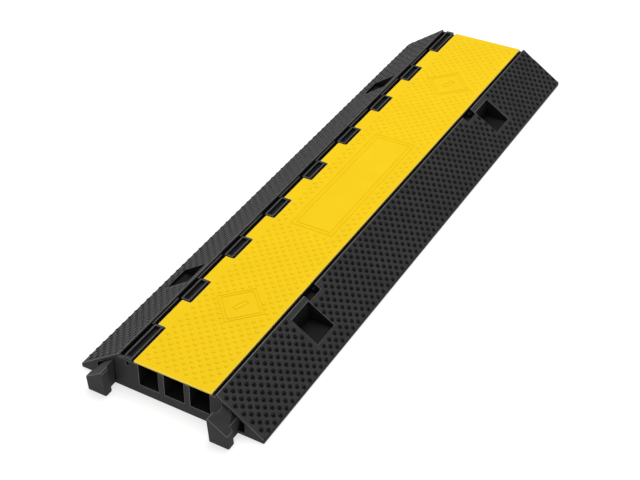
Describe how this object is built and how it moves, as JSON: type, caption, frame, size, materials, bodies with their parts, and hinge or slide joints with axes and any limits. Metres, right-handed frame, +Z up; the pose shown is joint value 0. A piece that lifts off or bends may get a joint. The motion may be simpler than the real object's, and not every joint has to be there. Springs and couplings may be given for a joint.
{
  "type": "cable protector ramp",
  "caption": "Low rubber ramp with studded slopes that carries cables in channels under a long hinged lid, with connector lugs and sockets to join it end to end.",
  "frame": {"origin": "middle of the base's footprint, on the floor, at mid-length and mid-width of the base without its connector lugs", "axes": "+Y along the cables, from the end with the lugs to the end with the sockets; +X across the ramp, away from the hinge; +Z up"},
  "size_m": [0.28, 0.9305, 0.05],
  "materials": {
    "base_rubber": "matte moulded",
    "lid_plastic": "satin moulded",
    "rod_steel": "drawn",
    "plug_rubber": "matte moulded"
  },
  "bodies": {
    "base": {"base": "base_rubber", "hinge_rod": "rod_steel", "rod_plug_near": "plug_rubber", "rod_plug_far": "plug_rubber"},
    "lid": {"lid": "lid_plastic"}
  },
  "joints": [
    {"name": "lid_hinge", "type": "hinge", "parent": "base", "child": "lid", "pos_m": [-0.061, 0, 0.0405], "axis": [0, -1, 0], "range_deg": [0, 100]}
  ]
}
